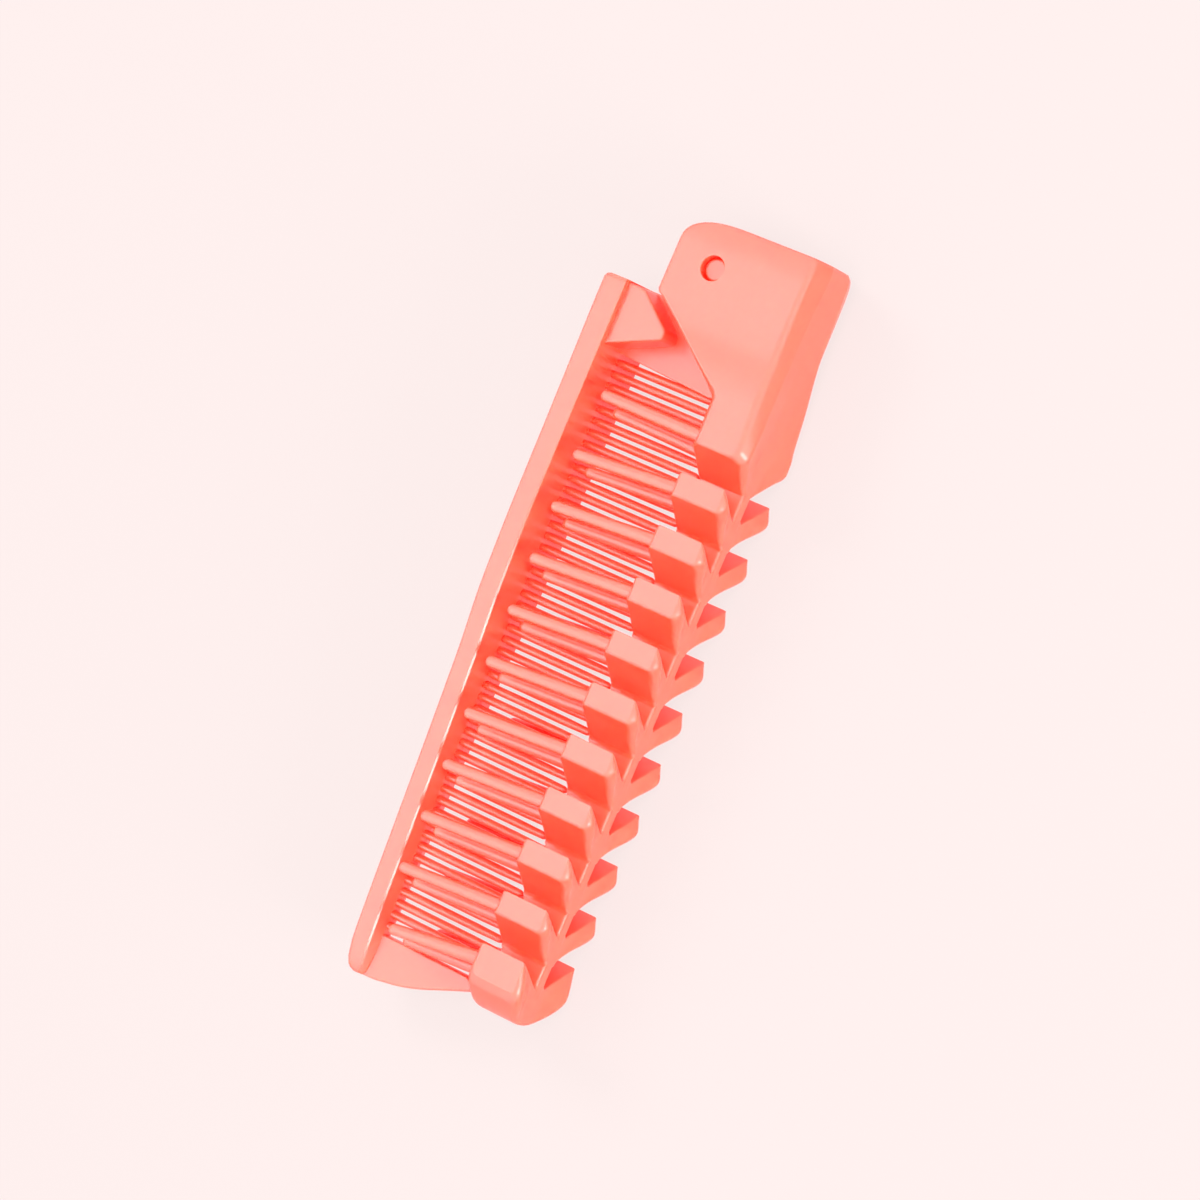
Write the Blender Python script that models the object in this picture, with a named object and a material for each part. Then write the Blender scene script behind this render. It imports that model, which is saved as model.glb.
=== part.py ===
"""Folding comb: a pocket comb that folds between the bristles of a ribbed vent brush.

The parts are laid out in one frame: X runs from the hinge to the tip, Y from the comb's spine to the
brush's back, Z across the ribs. X = 0 at the first rib, Y = 0 at the rail's back and Z = 0 in the middle.
The closed comb lies on its side, and the frame's empty puts the middle of its box at the world's origin.
"""
import math

import bmesh
import bpy
from mathutils import Vector

MM = 0.001

# Whole object
HALF_WIDTH = 9.76 * MM
BOX_MIDDLE_X = 24.95 * MM
BOX_MIDDLE_Y = -16.45 * MM
CLEARANCE = 0.3 * MM
CUTTER_REACH = 60.0 * MM

# Ribs and rail of the brush
RIB_COUNT = 10
RIB_PITCH = 9.0 * MM
RIB_SWEEP = 0.531
RIB_EDGE_X = -3.45 * MM
TIP_RIB_EXTRA = 2.1 * MM
RAIL_HALF_WIDTH = 1.46 * MM
RAIL_BACK = 0.38 * MM
RAIL_FRONT = -8.2 * MM
RAIL_START = -14.0 * MM
RAIL_END = 85.0 * MM
HOUSING_END_SETBACK = 2.0 * MM

# Bristle rods
ROD_SIDES = 8
ROD_ROOT_RADIUS = 1.2 * MM
ROD_TIP_RADIUS = 0.98 * MM
ROD_ROOT_Y = -7.2 * MM
ROD_TIP_Y = -27.1 * MM
OUTER_ROD_ROOT = (-0.7 * MM, 8.2 * MM)
OUTER_ROD_TIP = (0.65 * MM, 8.3 * MM)
INNER_ROD_ROOT = (1.5 * MM, 3.5 * MM)
INNER_ROD_TIP = (2.6 * MM, 3.4 * MM)
INNER_ROD_SHORTER = 0.8 * MM
END_ROW_TIP_SHIFTS = {0: (-1.5 * MM, 0.6 * MM), 10: (1.0 * MM, 2.6 * MM)}

# Hinge
PIVOT_X = -35.0 * MM
PIVOT_Y = -17.0 * MM
HOLE_RADIUS = 2.12 * MM
PIN_RADIUS = 1.8 * MM
PIN_HALF_LENGTH = 6.4 * MM
ROUND_SIDES = 24

# Tongue of the comb and the slot of the housing
TONGUE_HALF = 1.5 * MM
TONGUE_NOSE_RADIUS = 6.3 * MM
SLOT_HALF = TONGUE_HALF + CLEARANCE
SLOT_BACK = -9.8 * MM

# Comb
SPINE_BACK = -30.3 * MM
TOOTH_COUNT = 50
FIRST_TOOTH_X = -15.6 * MM
LAST_TOOTH_X = 82.1 * MM
TOOTH_TIP_Y = -8.65 * MM
TOOTH_SIDES = 6
PANEL_HALF = 7.1 * MM
GUARD_HALF = 1.2 * MM

CORAL = (1.0, 0.30, 0.22, 1.0)

# Sections of a rib from its middle outwards, in millimetres: distance out, width along X,
# front face, crown of the rounded back, radius of that rounding
RIB_SECTIONS = (
    (0.00, 4.9, -8.25, 0.40, 0.7),
    (1.46, 4.6, -8.25, 0.40, 0.9),
    (4.60, 4.3, -8.25, 0.75, 1.5),
    (6.40, 4.1, -8.25, 1.45, 1.8),
    (8.30, 3.95, -8.25, 1.70, 1.8),
    (9.30, 3.80, -8.05, 1.25, 1.3),
    (9.76, 3.40, -7.35, 0.30, 0.4),
)

# Sections of the housing along X, in millimetres: x, half width, front edge, back edge,
# distance out and height of the back's crest, height of the back's middle
HOUSING_SECTIONS = (
    (-42.5, 7.3, -15.0, -1.5, 3.5, -0.1, -0.1),
    (-41.9, 7.8, -20.5, -1.0, 3.8, 0.3, 0.3),
    (-40.4, 8.2, -23.5, -0.8, 4.0, 0.5, 0.5),
    (-37.9, 8.5, -24.6, -0.8, 4.3, 0.5, 0.5),
    (-34.6, 8.55, -24.7, -0.8, 4.8, 0.45, 0.45),
    (-28.5, 8.6, -24.7, -0.8, 5.2, 0.5, 0.5),
    (-27.4, 8.65, -21.6, -0.75, 5.3, 0.55, 0.5),
    (-25.2, 8.75, -18.6, -0.6, 5.6, 0.7, 0.6),
    (-22.6, 9.15, -14.9, -0.4, 6.2, 0.9, 0.7),
    (-20.4, 9.50, -12.3, -0.2, 6.6, 1.1, 0.75),
    (-18.1, 9.70, -9.2, -0.15, 7.0, 1.25, 0.75),
    (-16.6, 9.76, -7.4, -0.1, 7.1, 1.4, 0.7),
    (-14.0, 9.76, -7.4, 0.0, 7.5, 1.55, 0.6),
    (-12.0, 9.76, -7.4, 0.1, 8.0, 1.7, 0.5),
    (-3.0, 9.76, -7.4, 0.1, 8.2, 1.7, 0.4),
)

# Sections of the comb's spine along X, in millimetres: x, half thickness, outer edge
SPINE_SECTIONS = (
    (-28.4, 8.1, -34.0),
    (-27.6, 8.27, -34.6),
    (-5.0, 8.27, -34.35),
    (10.0, 8.27, -34.2),
    (25.0, 7.8, -34.0),
    (37.0, 6.4, -33.8),
    (68.0, 3.9, -33.4),
    (79.0, 3.2, -33.2),
    (87.7, 2.5, -33.0),
    (90.8, 2.1, -32.3),
    (92.1, 1.6, -31.1),
)

# Raised panel at the comb's hinge end, outline in millimetres
PANEL_OUTLINE = (
    (-28.1, -31.0), (-17.1, -31.0), (-17.6, -29.8), (-21.2, -21.6), (-21.7, -21.1),
    (-22.6, -21.1), (-23.3, -21.6), (-27.2, -26.3), (-28.0, -28.1),
)

# Guard past the last tooth, outline in millimetres
TIP_GUARD_OUTLINE = (
    (85.0, -31.0), (92.2, -31.0), (92.4, -28.7), (92.0, -25.4), (91.2, -21.2), (89.7, -17.2),
    (88.1, -13.4), (87.3, -10.7), (86.7, -10.0), (86.0, -10.3), (85.0, -11.6),
)


def fill_loft(mesh, rings):
    """Add a closed skin through rings of points, with a flat cap at each end."""
    loops = [[mesh.verts.new(point) for point in ring] for ring in rings]
    count = len(loops[0])
    for lower, upper in zip(loops, loops[1:]):
        for i in range(count):
            j = (i + 1) % count
            mesh.faces.new((lower[i], lower[j], upper[j], upper[i]))
    mesh.faces.new(list(reversed(loops[0])))
    mesh.faces.new(loops[-1])


def rectangle(low_x, low_y, high_x, high_y):
    """Corners of a rectangle in the XY plane."""
    return [(low_x, low_y), (high_x, low_y), (high_x, high_y), (low_x, high_y)]


def prism_rings(outline, half):
    """Two rings that extrude an XY outline through Z from -half to +half."""
    return [[Vector((x, y, z)) for x, y in outline] for z in (-half, half)]


def make_object(name, ring_sets, parent, origin=(0.0, 0.0, 0.0)):
    """Make one object of closed lofts, its origin at a point of the layout."""
    shape = bmesh.new()
    for rings in ring_sets:
        fill_loft(shape, rings)
    bmesh.ops.translate(shape, vec=-Vector(origin), verts=shape.verts)
    bmesh.ops.recalc_face_normals(shape, faces=shape.faces)
    mesh = bpy.data.meshes.new(name)
    shape.to_mesh(mesh)
    shape.free()
    made = bpy.data.objects.new(name, mesh)
    made.location = origin
    made.parent = parent
    bpy.context.scene.collection.objects.link(made)
    return made


def combine(target, tool, operation):
    """Union or subtract a helper object, which stays hidden."""
    step = target.modifiers.new(tool.name, "BOOLEAN")
    step.operation = operation
    step.object = tool
    tool.hide_render = True
    tool.display_type = "WIRE"


def plastic(name):
    """Glossy coral plastic."""
    material = bpy.data.materials.new(name)
    material.use_nodes = True
    shader = material.node_tree.nodes["Principled BSDF"]
    shader.inputs["Base Color"].default_value = CORAL
    shader.inputs["Roughness"].default_value = 0.3
    shader.inputs["Metallic"].default_value = 0.0
    return material


def circle(centre, radius, sides):
    """Points of a circle in the XY plane."""
    x, y = centre
    angles = [2.0 * math.pi * i / sides for i in range(sides)]
    return [(x + radius * math.cos(a), y + radius * math.sin(a)) for a in angles]


def chevron_x(out):
    """X of a rib's hinge side at a distance from the middle, level across the rail."""
    return RIB_EDGE_X + RIB_SWEEP * (HALF_WIDTH - max(out, RAIL_HALF_WIDTH))


def rib_ring(start, side, section, extra):
    """Outline of a rib at one section: square at the front, rounded over at the back."""
    out, width, front, crown, radius = (value * MM for value in section)
    x = start + chevron_x(out)
    width += extra
    small = 0.3 * MM
    bend = radius * (1.0 - math.sqrt(0.5))
    profile = (
        (0.0, front + small), (small, front), (width - small, front), (width, front + small),
        (width, crown - radius), (width - bend, crown - bend), (width - radius, crown),
        (radius, crown), (bend, crown - bend), (0.0, crown - radius),
    )
    return [Vector((x + u, y, side * out)) for u, y in profile]


def rib_rings(index):
    """Rings of one rib from its -Z end to its +Z end. Index -1 is the housing's own end."""
    start = index * RIB_PITCH
    extra = TIP_RIB_EXTRA if index == RIB_COUNT - 1 else 0.0
    lower = [rib_ring(start, -1.0, section, extra) for section in reversed(RIB_SECTIONS[1:])]
    upper = [rib_ring(start, 1.0, section, extra) for section in RIB_SECTIONS]
    return lower + upper


def rod_rings(root, tip, sides=ROD_SIDES):
    """A rod with a slight taper and a rounded tip."""
    steps = ((0.0, ROD_ROOT_RADIUS), (0.96, ROD_TIP_RADIUS), (0.99, 0.75 * ROD_TIP_RADIUS),
             (1.0, 0.35 * ROD_TIP_RADIUS))
    rings = []
    for share, radius in steps:
        centre = root.lerp(tip, share)
        rings.append([Vector((x, centre.y, z)) for x, z in circle((centre.x, centre.z), radius, sides)])
    return rings


def all_rods():
    """Eleven rows of four rods: a row under the housing's end and a row under each rib."""
    sets = []
    for row in range(RIB_COUNT + 1):
        start = (row - 1) * RIB_PITCH
        shift_x, shift_y = END_ROW_TIP_SHIFTS.get(row, (0.0, 0.0))
        for side in (-1.0, 1.0):
            for near, far, less in ((OUTER_ROD_ROOT, OUTER_ROD_TIP, 0.0),
                                    (INNER_ROD_ROOT, INNER_ROD_TIP, INNER_ROD_SHORTER)):
                root = Vector((start + near[0], ROD_ROOT_Y, side * near[1]))
                tip = Vector((start + far[0] + shift_x, ROD_TIP_Y + less + shift_y, side * far[1]))
                sets.append(rod_rings(root, tip))
    return sets


def housing_ring(section):
    """A housing section: rounded front edges and a low crowned back."""
    x, half, front, back, crest_out, crest, middle = (value * MM for value in section)
    corner = 0.7 * MM
    profile = (
        (half, front + corner), (half - corner, front), (-half + corner, front), (-half, front + corner),
        (-half, back), (-0.4 * half - 0.6 * crest_out, 0.4 * back + 0.6 * crest), (-crest_out, crest),
        (-RAIL_HALF_WIDTH, middle), (RAIL_HALF_WIDTH, middle),
        (crest_out, crest), (0.4 * half + 0.6 * crest_out, 0.4 * back + 0.6 * crest), (half, back),
    )
    return [Vector((x, y, z)) for z, y in profile]


def chevron_cutter_rings():
    """The space past the middle of the housing's end rib, with the sweep of a rib."""
    start = HOUSING_END_SETBACK - RIB_PITCH
    side = HALF_WIDTH + MM
    plan = [(start + chevron_x(abs(z)), z) for z in (-side, -RAIL_HALF_WIDTH, RAIL_HALF_WIDTH, side)]
    plan += [(CUTTER_REACH, side), (CUTTER_REACH, -side)]
    return [[Vector((x, y, z)) for x, z in plan] for y in (-CUTTER_REACH, CUTTER_REACH)]


def make_brush(frame):
    """Housing, rail, ribs and rods fused into one moulding."""
    brush = make_object("brush", [[housing_ring(section) for section in HOUSING_SECTIONS]], frame)
    brush.data.materials.append(plastic("brush_plastic"))
    combine(brush, make_object("end_cutter", [chevron_cutter_rings()], frame), "DIFFERENCE")
    slot = rectangle(-CUTTER_REACH, -CUTTER_REACH, 0.0, SLOT_BACK)
    combine(brush, make_object("slot_cutter", [prism_rings(slot, SLOT_HALF)], frame), "DIFFERENCE")
    hole = circle((PIVOT_X, PIVOT_Y), HOLE_RADIUS, ROUND_SIDES)
    combine(brush, make_object("hole_cutter", [prism_rings(hole, 2.0 * HALF_WIDTH)], frame), "DIFFERENCE")
    rail = rectangle(RAIL_START, RAIL_FRONT, RAIL_END, RAIL_BACK)
    combine(brush, make_object("rail", [prism_rings(rail, RAIL_HALF_WIDTH)], frame), "UNION")
    combine(brush, make_object("ribs", [rib_rings(i) for i in range(-1, RIB_COUNT)], frame), "UNION")
    combine(brush, make_object("rods", all_rods(), frame), "UNION")
    return brush


def spine_ring(section):
    """A spine section with small chamfers on its outer corners."""
    x, half, outer = (value * MM for value in section)
    corner = 0.6 * MM
    profile = ((half, SPINE_BACK), (half, outer + corner), (half - corner, outer),
               (-half + corner, outer), (-half, outer + corner), (-half, SPINE_BACK))
    return [Vector((x, y, z)) for z, y in profile]


def tooth_rings(x):
    """A tooth that narrows towards its rounded tip."""
    steps = ((SPINE_BACK - MM, 0.55, 1.3), (SPINE_BACK + 6.0 * MM, 0.5, 1.1),
             (TOOTH_TIP_Y - 0.8 * MM, 0.4, 0.7), (TOOTH_TIP_Y, 0.15, 0.3))
    rings = []
    for y, half_x, half_z in steps:
        unit = circle((0.0, 0.0), 1.0, TOOTH_SIDES)
        rings.append([Vector((x + half_x * MM * u, y, half_z * MM * v)) for u, v in unit])
    return rings


def tongue_outline():
    """The thin plate between the spine and the pivot, whose far side is the first tooth's guard."""
    nose = [(PIVOT_X + TONGUE_NOSE_RADIUS * math.cos(a), PIVOT_Y + TONGUE_NOSE_RADIUS * math.sin(a))
            for a in (math.radians(d) for d in range(90, 316, 15))]
    top = PIVOT_Y + TONGUE_NOSE_RADIUS
    plate = [(-28.3, -24.3), (-28.3, -31.0), (-17.1, -31.0), (-15.75, -11.6)]
    return nose + [(x * MM, y * MM) for x, y in plate] + [(-16.6 * MM, top)]


def make_comb(frame):
    """Spine, teeth, guards, panel and tongue fused into one moulding that turns about the pivot."""
    pivot = (PIVOT_X, PIVOT_Y, 0.0)
    comb = make_object("comb", [[spine_ring(section) for section in SPINE_SECTIONS]], frame, pivot)
    comb.data.materials.append(plastic("comb_plastic"))
    panel = [(x * MM, y * MM) for x, y in PANEL_OUTLINE]
    combine(comb, make_object("panel", [prism_rings(panel, PANEL_HALF)], frame), "UNION")
    combine(comb, make_object("tongue", [prism_rings(tongue_outline(), TONGUE_HALF)], frame), "UNION")
    guard = [(x * MM, y * MM) for x, y in TIP_GUARD_OUTLINE]
    combine(comb, make_object("tip_guard", [prism_rings(guard, GUARD_HALF)], frame), "UNION")
    pitch = (LAST_TOOTH_X - FIRST_TOOTH_X) / (TOOTH_COUNT - 1)
    teeth = [tooth_rings(FIRST_TOOTH_X + i * pitch) for i in range(TOOTH_COUNT)]
    combine(comb, make_object("teeth", teeth, frame), "UNION")
    hole = circle((PIVOT_X, PIVOT_Y), HOLE_RADIUS, ROUND_SIDES)
    combine(comb, make_object("tongue_hole", [prism_rings(hole, HALF_WIDTH)], frame), "DIFFERENCE")
    return comb


def make_pin(frame):
    """The pin through both cheeks and the tongue."""
    pivot = (PIVOT_X, PIVOT_Y, 0.0)
    outline = circle((PIVOT_X, PIVOT_Y), PIN_RADIUS, ROUND_SIDES)
    pin = make_object("pivot_pin", [prism_rings(outline, PIN_HALF_LENGTH)], frame, pivot)
    pin.data.materials.append(plastic("pin_plastic"))
    return pin


def main():
    """Clear the scene and build the closed comb."""
    for old in list(bpy.data.objects):
        bpy.data.objects.remove(old)
    frame = bpy.data.objects.new("closed_comb", None)
    frame.location = (-BOX_MIDDLE_X, -BOX_MIDDLE_Y, HALF_WIDTH)
    bpy.context.scene.collection.objects.link(frame)
    make_brush(frame)
    make_comb(frame)
    make_pin(frame)


main()
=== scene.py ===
"""Folding comb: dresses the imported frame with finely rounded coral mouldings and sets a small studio.

Shapes are laid out in millimetres in one plan: X from the hinge to the tip, Y from the comb's spine to the
brush's ribbed back, Z across the ribs, with zero at the first rib, the rail's back and the blade's middle.
"""
import math

import bmesh
import bpy
import numpy as np
from bpy.props import FloatProperty, FloatVectorProperty, IntProperty, PointerProperty
from mathutils import Matrix, Vector


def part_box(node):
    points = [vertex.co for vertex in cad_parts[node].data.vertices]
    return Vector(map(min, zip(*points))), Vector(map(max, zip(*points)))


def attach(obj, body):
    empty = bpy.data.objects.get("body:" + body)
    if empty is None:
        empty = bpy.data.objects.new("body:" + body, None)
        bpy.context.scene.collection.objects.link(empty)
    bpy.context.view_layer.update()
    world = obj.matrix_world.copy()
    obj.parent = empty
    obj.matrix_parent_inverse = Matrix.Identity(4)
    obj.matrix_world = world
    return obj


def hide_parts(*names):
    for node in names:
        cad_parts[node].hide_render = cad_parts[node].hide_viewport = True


bl_info = {
    "name": "Folding Comb",
    "version": (1, 0, 0),
    "blender": (4, 5, 0),
    "location": "View3D > Sidebar > Folding Comb",
    "description": "Builds a folding comb with a vent brush and its studio",
    "category": "Add Mesh",
}

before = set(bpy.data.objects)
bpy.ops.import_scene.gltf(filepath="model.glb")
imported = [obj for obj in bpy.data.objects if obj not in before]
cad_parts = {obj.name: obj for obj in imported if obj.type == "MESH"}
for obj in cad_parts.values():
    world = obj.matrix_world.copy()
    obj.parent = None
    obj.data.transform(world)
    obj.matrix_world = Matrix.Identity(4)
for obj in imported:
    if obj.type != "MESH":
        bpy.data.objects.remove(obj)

MM = 0.001

# Angle in degrees above which an edge is shaded sharp
CREASE = 38.0

# Hinge: its axis in plan, radius of the holes, radius, half length and rounding of the pin
PIVOT = (-35.0, -17.0)
BORE_RADIUS = 2.12
PIN_RADIUS = 1.85
PIN_HALF = 7.3
PIN_RIM = 0.35

# Slot of the fork, cut in from beyond the housing: its half thickness and its corners in plan
FORK_HALF = 1.8
FORK_CORNERS = ((-60.0, -60.0), (0.0, -60.0), (0.0, -9.8), (-60.0, -9.8))

# Rail along the back: half thickness, ends in x, front and back in y, rounding of its long edges
RAIL_HALF = 1.46
RAIL_ENDS = (-14.0, 85.0)
RAIL_HEIGHT = (-8.2, 0.38)
RAIL_EDGE = 0.7

# Ribs: half of the brush's width, y of the front, width at the flat end, rounding of the front corner on the tip
# side and the same for the last rib, power of the slope from the crest down to the hinge side
HALF_WIDTH = 9.76
RIB_FRONT = -8.25
RIB_WIDTH = 3.95
RIB_FOOT = 0.4
LAST_FOOT = 1.6
SLOPE_POWER = 1.6

# Rounding before a rib's flat end: over what distance, power of its curve, rise of the front, fall of the crest,
# share of the back edge's own rounding that is lost, share that the last rib loses besides
END_DEPTH = 1.26
END_POWER = 1.8
END_RISE = 0.9
END_FALL = 1.3
END_LOSS = 0.75
LAST_LOSS = 0.3

# Rims of flat ends: depth of the rounding, how far crisp and soft edges are drawn in there
CORNER_RIM = 0.45
CRISP_RIM = 0.12
SOFT_RIM = 0.4

# Crown of the housing's back: shares of the way from its start beside the rail to the crest, distance out where it
# starts, steps of a rounded corner, points of half the crown, y above which points belong to the back
CROWN_SHARES = (0.78, 0.55, 0.28)
CROWN_START = RAIL_HALF + 0.6
CORNER_STEPS = 4
CROWN_POINTS = len(CROWN_SHARES) + CORNER_STEPS + 1
BACK_LEVEL = -6.0

# Rounded hinge end of the housing: middle in y, reach from there to the front edge, power of its curve
ROUND_MIDDLE = -15.0
ROUND_REACH = 9.65
ROUND_POWER = 2.3

# Where the housing's sections start to be swept like a rib, and over what length
SWEEP_START = -26.0
SWEEP_LENGTH = 12.0

# Half thicknesses and rounded edges of the comb's flat parts
TONGUE_HALF = 1.5
TONGUE_EDGE = 0.25
PANEL_HALF = 7.1
PANEL_EDGE = 0.5
GUARD_HALF = 1.2
GUARD_EDGE = 0.35

# Bristle rods: radius at the root and at the tip, y of the root and of the tip
ROD_THICK = 1.2
ROD_THIN = 0.98
ROD_ROOT = -7.2
ROD_TIP = -27.1

# Outer and inner rod of a row: x and distance out of the root, x and distance out of the tip, how much shorter
ROD_PAIR = (((-0.7, 8.2), (0.65, 8.3), 0.0), ((1.5, 3.5), (2.6, 3.4), 0.8))

# Lean of the first and the last row's tips in x and y, and how much less the last row's inner rods lean
FIRST_LEAN = (-1.5, 0.6)
LAST_LEAN = (0.8, 2.6)
INNER_LESS = 0.6

# Rib sections from the middle outwards: distance out, width, back edge on the hinge side, crest of the back,
# rounding of the tip side
RIB_TABLE = (
    (0.0, 4.9, 0.38, 0.385, 0.5),
    (1.46, 4.6, 0.37, 0.39, 0.7),
    (3.0, 4.45, 0.36, 0.48, 1.0),
    (4.6, 4.3, 0.40, 0.80, 1.4),
    (6.4, 4.1, 0.44, 1.40, 1.8),
    (8.3, 3.95, 0.46, 1.70, 1.8),
    (9.76, 3.95, 0.46, 1.70, 1.8),
)

# Tip side of the last rib in plan: distance out, x past the rib's place
TIP_TABLE = ((0.0, 7.3), (1.46, 7.28), (3.0, 7.05), (4.6, 6.5), (6.4, 5.45), (8.3, 3.95), (9.0, 3.2), (9.76, 1.9))

# Housing sections along X: x, half width, back edge, crest's distance out, crest, middle of the back
HOUSING_TABLE = (
    (-42.5, 7.3, -1.5, 3.5, -0.1, -0.1),
    (-41.9, 7.8, -1.0, 3.8, 0.3, 0.3),
    (-40.4, 8.2, -0.8, 4.0, 0.5, 0.5),
    (-37.9, 8.5, -0.8, 4.3, 0.5, 0.5),
    (-34.6, 8.55, -0.8, 4.8, 0.45, 0.45),
    (-28.5, 8.6, -0.8, 5.2, 0.5, 0.5),
    (-25.2, 8.75, -0.6, 5.6, 0.7, 0.6),
    (-22.6, 9.15, -0.4, 6.2, 0.9, 0.7),
    (-20.4, 9.50, -0.2, 6.6, 1.1, 0.75),
    (-18.1, 9.70, -0.1, 7.0, 1.25, 0.75),
    (-16.6, 9.76, 0.0, 7.1, 1.4, 0.7),
    (-14.0, 9.76, 0.1, 7.5, 1.55, 0.6),
    (-12.0, 9.76, 0.2, 8.0, 1.7, 0.5),
    (-8.5, 9.76, 0.3, 8.2, 1.70, 0.4),
)

# Front edge of the housing's cheeks along X, and how far its end rounding reaches down and in
CHEEK_FRONT = (
    (-37.9, -24.65, 0.5, 0.4), (-29.0, -24.7, 0.5, 0.4), (-28.45, -24.4, 0.5, 0.4),
    (-28.0, -23.5, 0.5, 0.4), (-18.0, -9.6, 0.6, 0.6), (-17.4, -8.75, 0.7, 0.8),
    (-16.4, RIB_FRONT, END_RISE, 1.1), (-8.5, RIB_FRONT, END_RISE, END_DEPTH),
)

# Spine sections along X: x, half thickness, outer edge, inner edge, rise of the inner wall to the teeth
SPINE_TABLE = (
    (-28.4, 7.9, -33.8, -30.3, 0.1), (-28.2, 8.1, -34.3, -30.3, 0.1), (-27.6, 8.27, -34.6, -30.3, 0.1),
    (-5.0, 8.27, -34.35, -30.3, 0.1), (10.0, 8.27, -34.2, -30.3, 0.2), (25.0, 7.85, -34.0, -30.2, 0.4),
    (37.0, 6.5, -33.75, -30.15, 0.5), (68.0, 4.3, -33.25, -29.75, 0.7), (79.0, 3.8, -32.95, -29.5, 0.8),
    (87.7, 3.25, -32.7, -29.3, 0.8), (90.4, 2.8, -32.4, -29.3, 0.7), (91.6, 2.45, -32.0, -29.35, 0.6),
    (92.1, 2.15, -31.6, -29.5, 0.5), (92.4, 1.8, -31.0, -29.7, 0.4),
)

# Spine: facet and rounding of the inner edge where it is crisp and where it is round, x past which it is crisp,
# length over which it turns round towards the hinge, rounding of the outer edge, distance out and rounding of the
# line where the inner wall rises to the teeth
CRISP_EDGE = (0.32, 0.06)
ROUND_EDGE = (0.10, 0.66)
CRISP_FROM = 22.0
CRISP_TURN = 24.0
OUTER_EDGE = 0.75
ROOT_LINE = (1.3, 0.3)

# Tooth sections from its root to its tip: y, half width, half thickness
TOOTH_TABLE = (
    (-31.0, 0.6, 0.62), (-29.75, 0.62, 0.7), (-29.6, 0.64, 0.9), (-29.35, 0.67, 1.12), (-28.9, 0.72, 1.3),
    (-28.2, 0.73, 1.35), (-24.3, 0.73, 1.2), (-14.0, 0.72, 0.95), (-9.45, 0.62, 0.72), (-8.95, 0.42, 0.58),
    (-8.75, 0.27, 0.4), (-8.65, 0.1, 0.16),
)

# Corners of flat outlines: x, y, how far along each side the rounding starts
PANEL_CORNERS = (
    (-28.1, -32.5, 0.9), (-16.6, -32.5, 2.0), (-21.4, -21.1, 0.6), (-23.0, -21.1, 0.6), (-28.1, -27.4, 0.9),
)
TONGUE_CORNERS = (
    (-28.3, -32.5, 0.9), (-17.2, -32.5, 0.9), (-15.75, -11.6, 0.8), (-16.8, -10.7, 0.8),
    (-41.3, -10.7, 6.0), (-41.3, -23.3, 6.0), (-30.6, -23.3, 1.5), (-28.3, -25.6, 1.5),
)
GUARD_CORNERS = (
    (85.0, -31.9, 0.6), (92.3, -31.9, 0.6), (92.5, -28.0, 2.0), (91.3, -21.0, 3.0), (88.0, -12.9, 2.0),
    (86.8, -9.6, 0.9), (85.0, -11.6, 0.8),
)

# Plastic: scales of the flow marks and of the skin, depth of the skin in metres, how far the flow marks change
# the roughness down and up, refraction, how far red, green and blue light travel compared with each other
FLOW_SCALE = 90.0
SKIN_SCALE = 1400.0
SKIN_DEPTH = 0.02 * MM
GLOSS_CHANGE = (-0.03, 0.05)
PLASTIC_IOR = 1.55
GLOW_RADIUS = (1.0, 0.16, 0.08)

# Camera in the layout, in millimetres, with the directions of its picture's right, top and back
CAMERA_PLACE = (-8.56, 262.2, 598.5)
CAMERA_RIGHT = (-0.38808, 0.82800, -0.40474)
CAMERA_UP = (-0.92055, -0.36945, 0.12685)
CAMERA_BACK = (-0.04450, 0.42181, 0.90559)
FOCAL_LENGTH = 123.0
SENSOR_WIDTH = 36.0

# Floor and room: reach of the floor in metres, its roughness and shine, colours of its glow and of the room's light
FLOOR_REACH = 3.0
FLOOR_ROUGHNESS = 0.9
FLOOR_SHINE = 0.1
GLOW_COLOUR = (1.0, 0.89, 0.87, 1.0)
SKY_COLOUR = (1.0, 0.93, 0.98, 1.0)

# Lamps, with place and width in metres: name, place, width, height over width, colour, whether it shows in gloss
LAMPS = (
    ("key_light", (-0.35, -0.6, 0.7), 0.35, 1.0, (1.0, 0.96, 0.97), False),
    ("fill_light", (0.04, 0.28, 1.02), 0.5, 1.0, (1.0, 0.96, 0.97), False),
    ("tip_light", (0.27, -0.5, 0.9), 1.0, 1.0, (1.0, 0.95, 1.0), True),
    ("edge_light", (0.21, 0.83, 0.46), 0.14, 2.5, (1.0, 0.97, 0.98), True),
    ("back_light", (0.1, 1.05, 0.3), 0.5, 1.0, (1.0, 0.96, 0.98), False),
)
LAMP_TARGET = (0.0, 0.0, 0.01)


def layout_shift():
    """Vector in metres from the layout's zero to the frame's, found from the hinge pin."""
    low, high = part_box("pivot_pin")
    middle = (low + high) / 2.0
    return Vector((middle.x - PIVOT[0] * MM, middle.y - PIVOT[1] * MM, middle.z))


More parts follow.
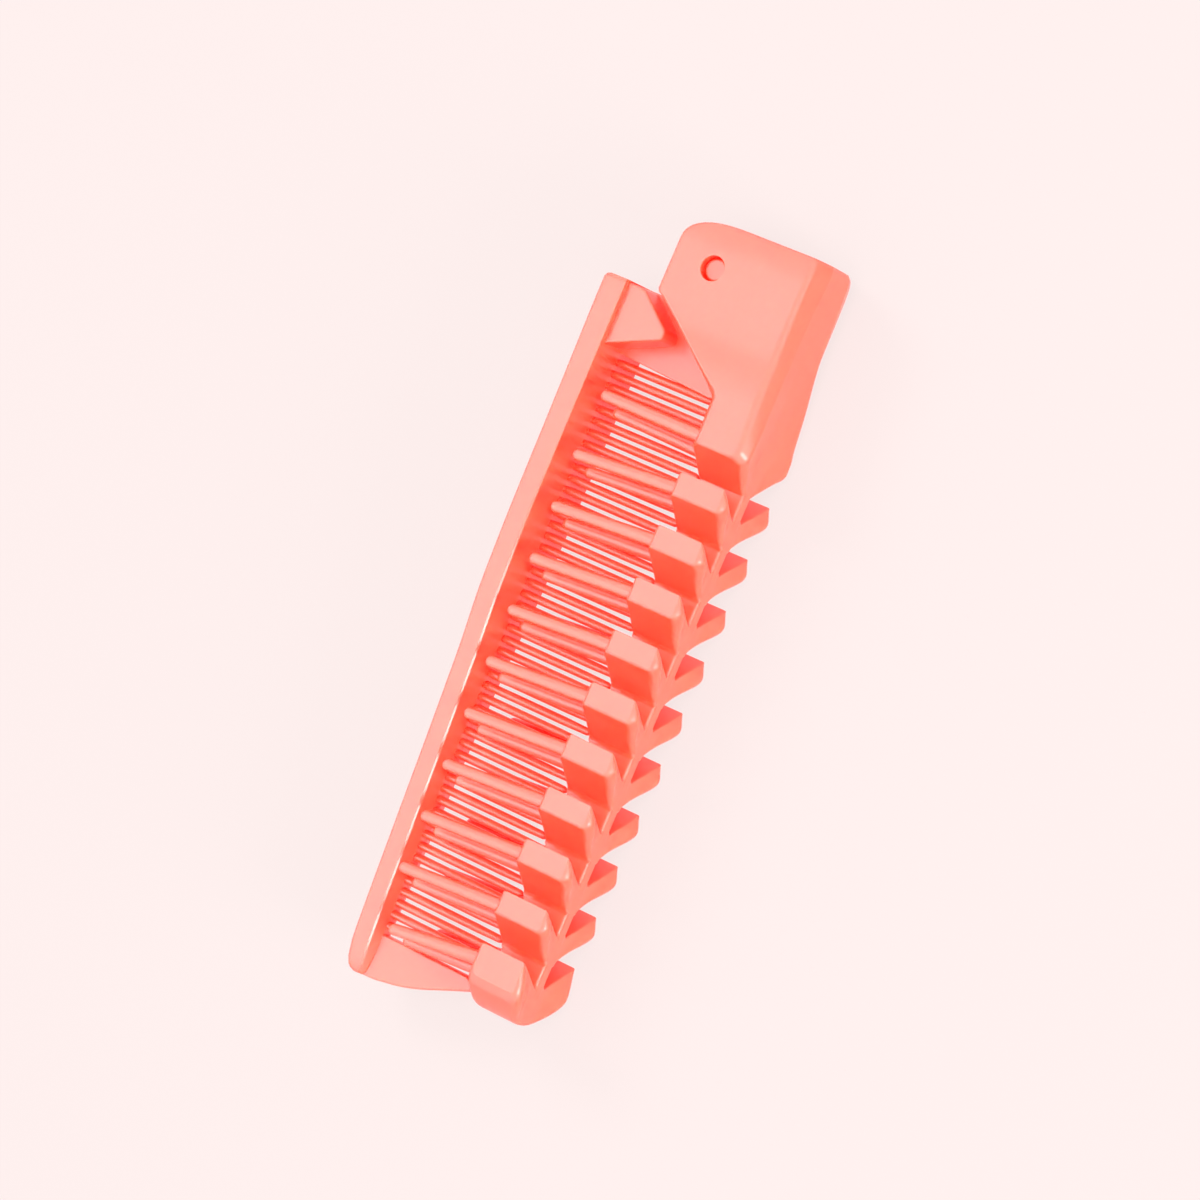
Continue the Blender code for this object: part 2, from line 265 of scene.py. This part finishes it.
def smooth_columns(table, at):
    """Columns of a table at new values of its first column, without overshoot."""
    rows = np.array(table, float)
    x, y = rows[:, 0], rows[:, 1:]
    step = np.diff(x)[:, None]
    slope = np.diff(y, axis=0) / step
    tangent = np.zeros_like(y)
    tangent[0], tangent[-1] = slope[0], slope[-1]
    before, after = slope[:-1], slope[1:]
    same = before * after > 0.0
    total = np.where(same, before + after, 1.0)
    tangent[1:-1] = np.where(same, 2.0 * before * after / total, 0.0)
    at = np.clip(np.atleast_1d(np.asarray(at, float)), x[0], x[-1])
    k = np.clip(np.searchsorted(x, at, side="right") - 1, 0, len(x) - 2)
    h = step[k]
    t = (at[:, None] - x[k][:, None]) / h
    return ((1 + 2 * t) * (1 - t) ** 2 * y[k] + t * (1 - t) ** 2 * h * tangent[k]
            + t ** 2 * (3 - 2 * t) * y[k + 1] + t ** 2 * (t - 1) * h * tangent[k + 1])


def rounded(corners, steps=5):
    """Closed outline with its corners rounded over; each is x, y and how far the rounding reaches, 0 for none."""
    points = []
    for i, (x, y, reach) in enumerate(corners):
        here = np.array((x, y), float)
        if not reach:
            points.append(here)
            continue
        before = np.array(corners[i - 1][:2], float) - here
        after = np.array(corners[(i + 1) % len(corners)][:2], float) - here
        start = here + before * min(reach / np.linalg.norm(before), 0.48)
        end = here + after * min(reach / np.linalg.norm(after), 0.48)
        for j in range(steps + 1):
            t = j / steps
            points.append((1 - t) ** 2 * start + 2 * t * (1 - t) * here + t ** 2 * end)
    return points


def quarter(share, power=2.0):
    """Drop of a rounded edge, 0 where it starts and 1 at its end."""
    share = min(max(share, 0.0), 1.0)
    return 1.0 - (1.0 - share ** power) ** (1.0 / power)


def fine_steps(low, high, count):
    """Values from low to high that crowd towards high."""
    return low + (high - low) * np.sin(np.linspace(0.0, 1.0, count) * math.pi / 2.0)


def add_loft(mesh, rings, paired=0):
    """Closed skin through rings of points, capped at both ends. The first and the middle points of a ring may be
    paired, so that the last cap is made of strips from edge to edge."""
    loops = [[mesh.verts.new(Vector(point) * MM) for point in ring] for ring in rings]
    count = len(loops[0])
    for lower, upper in zip(loops, loops[1:]):
        for i in range(count):
            j = (i + 1) % count
            mesh.faces.new((lower[i], lower[j], upper[j], upper[i]))
    mesh.faces.new(list(reversed(loops[0])))
    if not paired:
        mesh.faces.new(loops[-1])
        return
    last = loops[-1]
    across = (count - paired) // 2 + paired // 2
    partner = [last[across + paired - 1 - i] for i in range(paired)]
    for i in range(paired - 1):
        mesh.faces.new((last[i], last[i + 1], partner[i + 1], partner[i]))
    mesh.faces.new(last[paired - 1:across + 1])
    mesh.faces.new([last[0]] + last[across + paired - 1:])


def new_solid(name, ring_sets, paired=0):
    """Object of one or more closed lofts, laid out in millimetres."""
    shape = bmesh.new()
    for rings in ring_sets:
        add_loft(shape, rings, paired)
    bmesh.ops.translate(shape, vec=layout_shift(), verts=shape.verts)
    bmesh.ops.recalc_face_normals(shape, faces=shape.faces)
    mesh = bpy.data.meshes.new(name)
    shape.to_mesh(mesh)
    shape.free()
    made = bpy.data.objects.new(name, mesh)
    bpy.context.scene.collection.objects.link(made)
    return made


def plate_rings(outline, half, edge):
    """Rings of a flat plate across Z, its rims rounded by insetting the outline."""
    points = np.array(outline)
    ahead = np.roll(points, -1, axis=0) - np.roll(points, 1, axis=0)
    length = np.linalg.norm(ahead, axis=1)[:, None]
    inward = np.stack((-ahead[:, 1], ahead[:, 0]), axis=1) / np.maximum(length, 1e-9)
    rings = []
    for share in (0.0, 0.3, 0.65, 1.0):
        ring = points + inward * edge * (1.0 - share) ** 2
        rings.append([(x, y, half - edge * share ** 2) for x, y in ring])
    mirrored = [[(x, y, -z) for x, y, z in ring] for ring in rings]
    return mirrored + list(reversed(rings))


def fused(name, base, steps):
    """One mesh made by uniting or cutting the base with helper objects, which are then removed."""
    for helper, operation in steps:
        step = base.modifiers.new(helper.name, "BOOLEAN")
        step.operation = operation
        step.solver = "EXACT"
        step.object = helper
    graph = bpy.context.evaluated_depsgraph_get()
    mesh = bpy.data.meshes.new_from_object(base.evaluated_get(graph))
    mesh.name = name
    piece = bpy.data.objects.new(name, mesh)
    bpy.context.scene.collection.objects.link(piece)
    for used in [base] + [helper for helper, operation in steps]:
        bpy.data.objects.remove(used)
    return piece


def finish_piece(piece, material, node, body):
    """Smooth shading, material and place in the frame."""
    piece.data.materials.clear()
    piece.data.materials.append(material)
    piece.data.shade_smooth()
    piece.data.set_sharp_from_angle(angle=math.radians(CREASE))
    weighted = piece.modifiers.new("weighted_normals", "WEIGHTED_NORMAL")
    weighted.keep_sharp = True
    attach(piece, body)
    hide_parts(node)


def chevron(out, sizes):
    """X of a rib's hinge side at a distance from the middle."""
    return sizes.rib_edge / MM + sizes.rib_sweep * (HALF_WIDTH - max(out, RAIL_HALF))


def rib_ring(start, side, out, last, sizes):
    """Section of a rib: crisp on the hinge side, crowned towards the tip side, drawn in at its flat end."""
    width, step, crest, edge = smooth_columns(RIB_TABLE, out)[0]
    near = sizes.rail_fillet / MM
    flare = near * quarter((RAIL_HALF + near - out) / near)
    end = quarter((out - (HALF_WIDTH - END_DEPTH)) / END_DEPTH, END_POWER)
    rim = quarter((out - (HALF_WIDTH - CORNER_RIM)) / CORNER_RIM)
    low = chevron(out, sizes) - flare + CRISP_RIM * rim
    high = chevron(out, sizes) + width + flare - SOFT_RIM * rim
    front = RIB_FRONT + END_RISE * end
    foot = RIB_FOOT
    if last:
        high = smooth_columns(TIP_TABLE, out)[0][0]
        foot = LAST_FOOT
        edge *= 1.0 - LAST_LOSS * end
    step -= CRISP_RIM * rim
    crest -= END_FALL * end
    edge *= 1.0 - END_LOSS * end
    over = [(high - edge * (1.0 - math.cos(a)), crest - edge * (1.0 - math.sin(a)), 0.0)
            for a in np.linspace(0.0, math.pi / 2.0, 10)]
    run = high - edge - low
    down = [(low + run * (1.0 - t), crest - (crest - step) * t ** SLOPE_POWER, 0.0) for t in np.linspace(0.12, 0.86, 7)]
    corners = [(low, front, 0.35), (high, front, foot)] + over + down + [(low, step, 0.25)]
    return [(start + u, y, side * out) for u, y in rounded(corners, 5)]


def rib_rings(index, sizes):
    """Rings of one rib from its -Z end to its +Z end."""
    start = index * sizes.rib_pitch / MM
    last = index == sizes.rib_count - 1
    outs = [0.0, RAIL_HALF]
    outs += [RAIL_HALF + share * sizes.rail_fillet / MM for share in (0.08, 0.25, 0.5, 0.75, 1.0)]
    outs += list(np.linspace(2.4, HALF_WIDTH - END_DEPTH, 12))
    outs += list(fine_steps(HALF_WIDTH - END_DEPTH, HALF_WIDTH, 9))[1:]
    upper = [rib_ring(start, 1.0, out, last, sizes) for out in outs]
    lower = [rib_ring(start, -1.0, out, last, sizes) for out in reversed(outs[1:])]
    return lower + upper


def housing_end(out):
    """How far the housing's swept end lies towards the tip of its corner, and the rounding of its back edge."""
    width, _, _, edge = smooth_columns(RIB_TABLE, out)[0]
    return width - RIB_WIDTH, edge


def housing_ring(x, sizes):
    """Section of the housing: cheeks, rounded rims and the crowned back, swept like a rib near its end."""
    half, back, crest_out, crest, middle = smooth_columns(HOUSING_TABLE, x)[0]
    columns = np.array(CHEEK_FRONT)
    front, drop, reach_in = (np.interp(x, columns[:, 0], columns[:, k]) for k in (1, 2, 3))
    if x < CHEEK_FRONT[0][0]:
        share = min((CHEEK_FRONT[0][0] - x) / (CHEEK_FRONT[0][0] - HOUSING_TABLE[0][0]), 1.0)
        front = ROUND_MIDDLE - ROUND_REACH * (1.0 - share ** ROUND_POWER) ** (1.0 / ROUND_POWER)
    away = HOUSING_TABLE[-1][0] - x
    rim = quarter(1.0 - away / SOFT_RIM)
    half -= CORNER_RIM * rim
    reach_in = max(reach_in - CORNER_RIM * rim, 0.3)
    front += SOFT_RIM * rim
    crown = [(CROWN_START + (crest_out - CROWN_START) * t, middle + (crest - middle) * t, 0.0)
             for t in CROWN_SHARES]
    right = [
        (half - reach_in, front, 0.4), (half, front + drop, 0.45), (half, back - 0.15, 0.9),
        (0.4 * half + 0.6 * crest_out, 0.4 * back + 0.6 * crest, 0.9), (crest_out, crest, 1.2),
    ] + crown + [(CROWN_START, middle, 1.0)]
    outline = rounded(right + [(-z, y, reach) for z, y, reach in reversed(right)], CORNER_STEPS)
    across = outline[len(outline) // 2 - CROWN_POINTS:len(outline) // 2 + CROWN_POINTS]
    outline = [(z, front) for z, y in reversed(across)] + outline
    swept = min(max((x - SWEEP_START) / SWEEP_LENGTH, 0.0), 1.0)
    swept = swept * swept * (3.0 - 2.0 * swept)
    ring = []
    for z, y in outline:
        out = abs(z)
        widened, edge = housing_end(out)
        shift = sizes.rib_sweep * (HALF_WIDTH - max(out, RAIL_HALF)) + widened
        if y > BACK_LEVEL:
            y -= edge * quarter(1.0 - away / edge)
        ring.append((x + swept * shift, y, z))
    return ring


def housing_rings(sizes):
    """Rings of the housing from the hinge end to its rib."""
    first, last = HOUSING_TABLE[0][0], HOUSING_TABLE[-1][0]
    length = CHEEK_FRONT[0][0] - first
    stations = [first + length * (1.0 - math.cos(t * math.pi / 2.0)) for t in np.linspace(0.0, 1.0, 12)]
    stations += [row[0] for row in CHEEK_FRONT[1:-1]]
    stations += list(np.linspace(-37.0, -12.0, 30))
    stations += list(fine_steps(-11.5, last, 16))
    return [housing_ring(x, sizes) for x in sorted(set(round(float(s), 3) for s in stations))]


def rod_rings(root, tip, thick, thin, sides=20):
    """Round rod with a slight taper and a domed tip."""
    root, tip = Vector(root), Vector(tip)
    length = (tip - root).length
    shares = [0.0, 0.33, 0.66] + [1.0 - thin / length * (1.0 - math.sin(a))
                                  for a in np.linspace(0.0, math.radians(84), 7)]
    rings = []
    for share in shares:
        centre = root.lerp(tip, share)
        radius = thick + (thin - thick) * share
        past = (share - 1.0) * length / thin + 1.0
        if past > 0.0:
            radius *= math.sqrt(max(1.0 - past * past, 0.0))
        rings.append([(centre.x + radius * math.cos(a), centre.y, centre.z + radius * math.sin(a))
                      for a in np.linspace(0.0, 2.0 * math.pi, sides, endpoint=False)])
    return rings


def bristle_sets(sizes):
    """Eleven rows of four rods, the end rows leaning as they do on the real brush."""
    lean = {0: FIRST_LEAN, sizes.rib_count: LAST_LEAN}
    sets = []
    for row in range(sizes.rib_count + 1):
        start = (row - 1) * sizes.rib_pitch / MM
        shift_x, shift_y = lean.get(row, (0.0, 0.0))
        for side in (-1.0, 1.0):
            for root, tip, less in ROD_PAIR:
                begin = (start + root[0], ROD_ROOT, side * root[1])
                inward = INNER_LESS if less and row == sizes.rib_count else 0.0
                end = (start + tip[0] + shift_x - inward, ROD_TIP + less + shift_y, side * tip[1])
                sets.append(rod_rings(begin, end, ROD_THICK, ROD_THIN))
    return sets


def tooth_rings(x, steps=14):
    """Tooth with a rounded start, an oval section and a slim domed tip."""
    turn = np.linspace(0.0, 2.0 * math.pi, steps, endpoint=False)
    return [[(x + half_x * math.cos(a), y, half_z * math.sin(a)) for a in turn] for y, half_x, half_z in TOOTH_TABLE]


def spine_rings():
    """Rings of the comb's spine from the hinge end to the tip."""
    stations = [row[0] for row in SPINE_TABLE] + list(np.linspace(-25.0, 87.0, 40))
    rings = []
    for x in sorted(set(round(float(s), 3) for s in stations)):
        half, outer, inner, rise = smooth_columns(SPINE_TABLE, x)[0]
        share = min(max((CRISP_FROM - x) / CRISP_TURN, 0.0), 1.0)
        facet, edge = (crisp + (soft - crisp) * share for crisp, soft in zip(CRISP_EDGE, ROUND_EDGE))
        upper = [(ROOT_LINE[0], inner + rise, ROOT_LINE[1]), (half - facet, inner, edge),
                 (half, inner - facet, edge), (half, outer, OUTER_EDGE)]
        corners = upper + [(-z, y, reach) for z, y, reach in reversed(upper)]
        rings.append([(x, y, z) for z, y in rounded(corners)])
    return rings


def disc_rings(radius, half, rim, sides=48):
    """Round pin or drill across Z at the hinge, with rounded rims."""
    turn = np.linspace(0.0, 2.0 * math.pi, sides, endpoint=False)
    steps = [(radius - rim * quarter(s), half - rim + rim * s) for s in np.linspace(0.0, 1.0, 6)]
    upper = [[(PIVOT[0] + r * math.cos(a), PIVOT[1] + r * math.sin(a), z) for a in turn] for r, z in steps]
    lower = [[(x, y, -z) for x, y, z in ring] for ring in reversed(upper)]
    return lower + upper


def box_rings(low_x, high_x, low_y, high_y, half, edge):
    """Bar along X with rounded long edges."""
    corners = ((half, low_y, edge), (half, high_y, edge), (-half, high_y, edge), (-half, low_y, edge))
    return [[(x, y, z) for z, y in rounded(corners, 4)] for x in (low_x, high_x)]


def coral_plastic(name, look):
    """Glossy, slightly translucent coral plastic with faint flow marks."""
    material = bpy.data.materials.new(name)
    material.use_nodes = True
    tree = material.node_tree
    nodes, links = tree.nodes, tree.links
    shader = nodes["Principled BSDF"]
    place = nodes.new("ShaderNodeTexCoord")
    flow = nodes.new("ShaderNodeTexNoise")
    flow.inputs["Scale"].default_value = FLOW_SCALE
    flow.inputs["Detail"].default_value = 3.0
    tint = nodes.new("ShaderNodeMix")
    tint.data_type = "RGBA"
    tint.inputs["A"].default_value = (*look.colour, 1.0)
    tint.inputs["B"].default_value = (*[c * look.flow_shade for c in look.colour], 1.0)
    skin = nodes.new("ShaderNodeTexNoise")
    skin.inputs["Scale"].default_value = SKIN_SCALE
    skin.inputs["Detail"].default_value = 2.0
    bump = nodes.new("ShaderNodeBump")
    bump.inputs["Strength"].default_value = look.skin_strength
    bump.inputs["Distance"].default_value = SKIN_DEPTH
    gloss = nodes.new("ShaderNodeMapRange")
    gloss.inputs["To Min"].default_value = look.roughness + GLOSS_CHANGE[0]
    gloss.inputs["To Max"].default_value = look.roughness + GLOSS_CHANGE[1]
    links.new(place.outputs["Object"], flow.inputs["Vector"])
    links.new(place.outputs["Object"], skin.inputs["Vector"])
    links.new(flow.outputs["Fac"], tint.inputs["Factor"])
    links.new(flow.outputs["Fac"], gloss.inputs["Value"])
    links.new(skin.outputs["Fac"], bump.inputs["Height"])
    links.new(tint.outputs["Result"], shader.inputs["Base Color"])
    links.new(gloss.outputs["Result"], shader.inputs["Roughness"])
    links.new(bump.outputs["Normal"], shader.inputs["Normal"])
    shader.inputs["Subsurface Weight"].default_value = look.translucency
    shader.inputs["Subsurface Radius"].default_value = GLOW_RADIUS
    shader.inputs["Subsurface Scale"].default_value = look.glow_depth
    shader.inputs["IOR"].default_value = PLASTIC_IOR
    shader.inputs["Specular IOR Level"].default_value = look.shine
    return material


class CombSizes(bpy.types.PropertyGroup):
    """Sizes of the brush and comb that a user may change."""
    rib_count: IntProperty(name="Ribs", description="Ribs past the housing", default=10, min=2, max=20)
    rib_pitch: FloatProperty(name="Rib pitch", description="Distance from rib to rib",
                             default=9.0 * MM, unit="LENGTH", precision=4)
    rib_edge: FloatProperty(name="Rib edge", description="Hinge side of a rib's flat end",
                            default=-3.45 * MM, unit="LENGTH", precision=4)
    rib_sweep: FloatProperty(name="Rib sweep", description="Slope of a rib towards the tip at the rail", default=0.531)
    rail_fillet: FloatProperty(name="Rail fillet", description="Rounding where a rib meets the rail",
                               default=0.6 * MM, unit="LENGTH", precision=4)
    tooth_count: IntProperty(name="Teeth", description="Teeth of the comb", default=50, min=2, max=80)
    first_tooth: FloatProperty(name="First tooth", description="Place of the first tooth",
                               default=-15.5 * MM, unit="LENGTH", precision=4)
    last_tooth: FloatProperty(name="Last tooth", description="Place of the last tooth",
                              default=83.43 * MM, unit="LENGTH", precision=4)


class PlasticLook(bpy.types.PropertyGroup):
    """Colour and finish of the plastic."""
    colour: FloatVectorProperty(name="Coral", description="Colour of the plastic", subtype="COLOR",
                                default=(0.98, 0.044, 0.020), min=0.0, max=1.0)
    flow_shade: FloatProperty(name="Flow shade", description="Brightness of the flow marks against the rest",
                              default=0.98, min=0.0, max=1.0, subtype="FACTOR")
    roughness: FloatProperty(name="Roughness", description="Roughness of the polished skin",
                             default=0.31, min=0.05, max=0.9, subtype="FACTOR")
    shine: FloatProperty(name="Shine", description="Strength of the surface reflection",
                         default=1.0, min=0.0, max=1.0, subtype="FACTOR")
    skin_strength: FloatProperty(name="Skin", description="Strength of the fine moulded skin",
                                 default=0.1, min=0.0, max=1.0, subtype="FACTOR")
    translucency: FloatProperty(name="Translucency", description="Share of light that enters",
                                default=0.8, min=0.0, max=1.0, subtype="FACTOR")
    glow_depth: FloatProperty(name="Glow depth", description="How far light travels inside",
                              default=3.0 * MM, unit="LENGTH", precision=4)


class StageLook(bpy.types.PropertyGroup):
    """Floor and lights."""
    floor: FloatVectorProperty(name="Floor", description="Colour of the floor", subtype="COLOR",
                               default=(0.03, 0.0255, 0.025), min=0.0, max=1.0)
    key_power: FloatProperty(name="Key light", description="Power of the key light", default=14.0, unit="POWER")
    fill_power: FloatProperty(name="Fill light", description="Power of the soft light beside the camera",
                              default=18.0, unit="POWER")
    tip_power: FloatProperty(name="Tip light", description="Power of the broad light above the spine", default=4.0,
                             unit="POWER")
    edge_power: FloatProperty(name="Edge light", description="Power of the small light that draws the edges",
                              default=3.4, unit="POWER")
    back_power: FloatProperty(name="Back light", description="Power of the soft light on the ribs' backs",
                              default=36.0, unit="POWER")
    glow: FloatProperty(name="Floor glow", description="Light that shines up through the floor", default=0.82)
    sky: FloatProperty(name="Sky", description="Strength of the room's even light", default=2.15)


class COMB_OT_brush(bpy.types.Operator):
    """Build the brush: housing, rail, ribs and bristle rods in one moulding"""
    bl_idname = "comb.brush"
    bl_label = "Brush"

    def execute(self, context):
        sizes = context.scene.comb_sizes
        base = new_solid("housing", [housing_rings(sizes)], 2 * CROWN_POINTS)
        slot = new_solid("slot", [[[(x, y, z) for x, y in FORK_CORNERS] for z in (-FORK_HALF, FORK_HALF)]])
        hole = new_solid("hole", [disc_rings(BORE_RADIUS, 2.0 * HALF_WIDTH, 0.0)])
        rail = new_solid("rail", [box_rings(*RAIL_ENDS, *RAIL_HEIGHT, RAIL_HALF, RAIL_EDGE)])
        ribs = new_solid("ribs", [rib_rings(i, sizes) for i in range(sizes.rib_count)])
        rods = new_solid("rods", bristle_sets(sizes))
        piece = fused("brush_moulding", base, [(slot, "DIFFERENCE"), (hole, "DIFFERENCE"), (rail, "UNION"),
                                               (ribs, "UNION"), (rods, "UNION")])
        finish_piece(piece, coral_plastic("brush_coral", context.scene.plastic_look), "brush", "brush")
        return {"FINISHED"}


class COMB_OT_comb(bpy.types.Operator):
    """Build the comb: spine, teeth, guards, panel and tongue in one moulding"""
    bl_idname = "comb.comb"
    bl_label = "Comb"

    def execute(self, context):
        sizes = context.scene.comb_sizes
        base = new_solid("spine", [spine_rings()])
        panel = new_solid("panel", [plate_rings(rounded(PANEL_CORNERS, 6), PANEL_HALF, PANEL_EDGE)])
        tongue = new_solid("tongue", [plate_rings(rounded(TONGUE_CORNERS, 10), TONGUE_HALF, TONGUE_EDGE)])
        guard = new_solid("tip_guard", [plate_rings(rounded(GUARD_CORNERS, 8), GUARD_HALF, GUARD_EDGE)])
        pitch = (sizes.last_tooth - sizes.first_tooth) / (sizes.tooth_count - 1)
        teeth = new_solid("teeth", [tooth_rings((sizes.first_tooth + i * pitch) / MM)
                                    for i in range(sizes.tooth_count)])
        hole = new_solid("hole", [disc_rings(BORE_RADIUS, HALF_WIDTH, 0.0)])
        piece = fused("comb_moulding", base, [(panel, "UNION"), (tongue, "UNION"), (guard, "UNION"),
                                              (teeth, "UNION"), (hole, "DIFFERENCE")])
        finish_piece(piece, coral_plastic("comb_coral", context.scene.plastic_look), "comb", "comb")
        return {"FINISHED"}


class COMB_OT_pin(bpy.types.Operator):
    """Build the hinge pin"""
    bl_idname = "comb.pin"
    bl_label = "Hinge pin"

    def execute(self, context):
        piece = new_solid("hinge_pin", [disc_rings(PIN_RADIUS, PIN_HALF, PIN_RIM)])
        finish_piece(piece, coral_plastic("pin_coral", context.scene.plastic_look), "pivot_pin", "brush")
        return {"FINISHED"}


def add_area(name, place, width, stretch, colour, glossy, power):
    """Soft light aimed at the comb, stretched upwards; if not glossy, it doesn't show in reflections."""
    lamp = bpy.data.lights.new(name, "AREA")
    lamp.shape = "RECTANGLE"
    lamp.size = width
    lamp.size_y = width * stretch
    lamp.energy = power
    lamp.color = colour
    made = bpy.data.objects.new(name, lamp)
    made.location = place
    made.rotation_euler = (Vector(LAMP_TARGET) - Vector(place)).to_track_quat("-Z", "Y").to_euler()
    made.visible_glossy = glossy
    bpy.context.scene.collection.objects.link(made)


class COMB_OT_stage(bpy.types.Operator):
    """Set the floor, the lights and the camera"""
    bl_idname = "comb.stage"
    bl_label = "Stage"

    def execute(self, context):
        look = context.scene.stage_look
        mesh = bpy.data.meshes.new("floor")
        corners = [(x * FLOOR_REACH, y * FLOOR_REACH, 0.0) for x, y in ((-1, -1), (1, -1), (1, 1), (-1, 1))]
        mesh.from_pydata(corners, [], [(0, 1, 2, 3)])
        floor = bpy.data.objects.new("floor", mesh)
        context.scene.collection.objects.link(floor)
        paper = bpy.data.materials.new("pale_floor")
        paper.use_nodes = True
        shader = paper.node_tree.nodes["Principled BSDF"]
        shader.inputs["Base Color"].default_value = (*look.floor, 1.0)
        shader.inputs["Roughness"].default_value = FLOOR_ROUGHNESS
        shader.inputs["Specular IOR Level"].default_value = FLOOR_SHINE
        shader.inputs["Emission Color"].default_value = GLOW_COLOUR
        shader.inputs["Emission Strength"].default_value = look.glow
        mesh.materials.append(paper)
        powers = (look.key_power, look.fill_power, look.tip_power, look.edge_power, look.back_power)
        for lamp, power in zip(LAMPS, powers):
            add_area(*lamp, power)
        world = bpy.data.worlds.new("room")
        world.use_nodes = True
        room = world.node_tree.nodes["Background"]
        room.inputs["Color"].default_value = SKY_COLOUR
        room.inputs["Strength"].default_value = look.sky
        context.scene.world = world
        context.scene.view_settings.view_transform = "Standard"
        lens = bpy.data.cameras.new("camera")
        lens.sensor_width = SENSOR_WIDTH
        lens.lens = FOCAL_LENGTH
        lens.clip_start = 0.01
        lens.clip_end = 20.0
        camera = bpy.data.objects.new("camera", lens)
        turn = Matrix((CAMERA_RIGHT, CAMERA_UP, CAMERA_BACK)).transposed().to_4x4()
        place = Vector(CAMERA_PLACE) * MM + layout_shift()
        camera.matrix_world = Matrix.Translation(place) @ turn
        context.scene.collection.objects.link(camera)
        context.scene.camera = camera
        return {"FINISHED"}


class COMB_PT_panel(bpy.types.Panel):
    """Sidebar panel with the sizes, finishes and build buttons"""
    bl_idname = "COMB_PT_panel"
    bl_label = "Folding Comb"
    bl_space_type = "VIEW_3D"
    bl_region_type = "UI"
    bl_category = "Folding Comb"

    def draw(self, context):
        for group in (context.scene.comb_sizes, context.scene.plastic_look, context.scene.stage_look):
            box = self.layout.box()
            for name in group.bl_rna.properties.keys():
                if name not in ("rna_type", "name"):
                    box.prop(group, name)
        for operator in OPERATORS:
            self.layout.operator(operator.bl_idname)


GROUPS = {"comb_sizes": CombSizes, "plastic_look": PlasticLook, "stage_look": StageLook}
OPERATORS = (COMB_OT_stage, COMB_OT_brush, COMB_OT_comb, COMB_OT_pin)


def register():
    """Register the property groups, operators and panel."""
    for name, group in GROUPS.items():
        bpy.utils.register_class(group)
        setattr(bpy.types.Scene, name, PointerProperty(type=group))
    for operator in OPERATORS:
        bpy.utils.register_class(operator)
    bpy.utils.register_class(COMB_PT_panel)


def unregister():
    """Take everything out again."""
    bpy.utils.unregister_class(COMB_PT_panel)
    for operator in reversed(OPERATORS):
        bpy.utils.unregister_class(operator)
    for name, group in GROUPS.items():
        delattr(bpy.types.Scene, name)
        bpy.utils.unregister_class(group)


def main():
    """Build the pieces and the stage."""
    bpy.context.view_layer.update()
    register()
    bpy.ops.comb.stage()
    bpy.ops.comb.brush()
    bpy.ops.comb.comb()
    bpy.ops.comb.pin()


if __name__ == "__main__":
    main()
